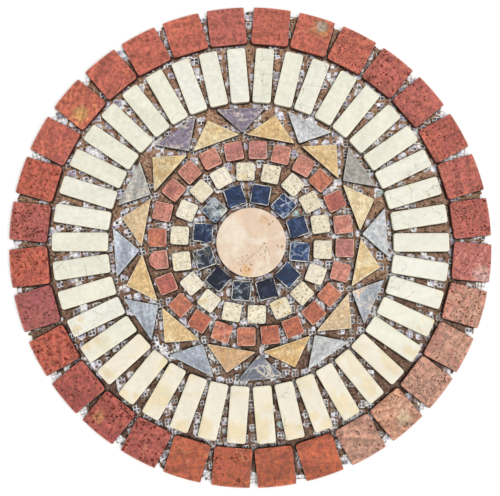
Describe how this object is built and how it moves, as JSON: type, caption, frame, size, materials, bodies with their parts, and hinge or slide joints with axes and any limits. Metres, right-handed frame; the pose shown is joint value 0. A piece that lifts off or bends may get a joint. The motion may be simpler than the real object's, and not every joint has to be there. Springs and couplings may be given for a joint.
{
  "type": "stone mosaic medallion panel",
  "caption": "Round floor medallion of tumbled stone tiles laid in rings with a star of triangles, bedded on a net backing for gluing down.",
  "frame": {"origin": "centre of the flat back, on the underside of the net", "axes": "+Z out of the tiles' faces, +Y towards the top of the panel in the picture, +X to its right"},
  "size_m": [0.6, 0.6, 0.012],
  "materials": {
    "net": "white glass fibre net soaked in brown adhesive",
    "disc_stone": "honed peach marble",
    "dark_stone": "tumbled navy marble with white veins and worn pale edges",
    "cream_travertine": "tumbled travertine with open pits",
    "small_red_stone": "tumbled red marble with pale worn edges",
    "gold_stone": "honed gold limestone",
    "grey_stone": "honed blue-grey marble with pale veins",
    "ray_stone": "honed cream marble with hairline veins",
    "red_travertine": "tumbled red travertine with dark open pits"
  },
  "bodies": {
    "root": {"net_backing": "net", "centre_disc": "disc_stone", "small_red_ring": "small_red_stone", "cream_ray_ring": "ray_stone", "outer_red_ring": "red_travertine", "dark_tile_01": "dark_stone", "dark_tile_02": "dark_stone", "dark_tile_03": "dark_stone", "dark_tile_04": "dark_stone", "dark_tile_05": "dark_stone", "dark_tile_06": "dark_stone", "dark_tile_07": "dark_stone", "dark_tile_08": "dark_stone", "dark_tile_09": "dark_stone", "dark_tile_10": "dark_stone", "dark_tile_11": "dark_stone", "dark_tile_12": "dark_stone", "cream_tile_01": "cream_travertine", "cream_tile_02": "cream_travertine", "cream_tile_03": "cream_travertine", "cream_tile_04": "cream_travertine", "cream_tile_05": "cream_travertine", "cream_tile_06": "cream_travertine", "cream_tile_07": "cream_travertine", "cream_tile_08": "cream_travertine", "cream_tile_09": "cream_travertine", "cream_tile_10": "cream_travertine", "cream_tile_11": "cream_travertine", "cream_tile_12": "cream_travertine", "cream_tile_13": "cream_travertine", "cream_tile_14": "cream_travertine", "cream_tile_15": "cream_travertine", "cream_tile_16": "cream_travertine", "cream_tile_17": "cream_travertine", "cream_tile_18": "cream_travertine", "gold_triangle_01": "gold_stone", "gold_triangle_02": "gold_stone", "gold_triangle_03": "gold_stone", "gold_triangle_04": "gold_stone", "gold_triangle_05": "gold_stone", "gold_triangle_06": "gold_stone", "gold_triangle_07": "gold_stone", "gold_triangle_08": "gold_stone", "gold_triangle_09": "gold_stone", "gold_triangle_10": "gold_stone", "gold_triangle_11": "gold_stone", "gold_triangle_12": "gold_stone", "grey_triangle_01": "grey_stone", "grey_triangle_02": "grey_stone", "grey_triangle_03": "grey_stone", "grey_triangle_04": "grey_stone", "grey_triangle_05": "grey_stone", "grey_triangle_06": "grey_stone", "grey_triangle_07": "grey_stone", "grey_triangle_08": "grey_stone", "grey_triangle_09": "grey_stone", "grey_triangle_10": "grey_stone", "grey_triangle_11": "grey_stone", "grey_triangle_12": "grey_stone"}
  },
  "joints": []
}
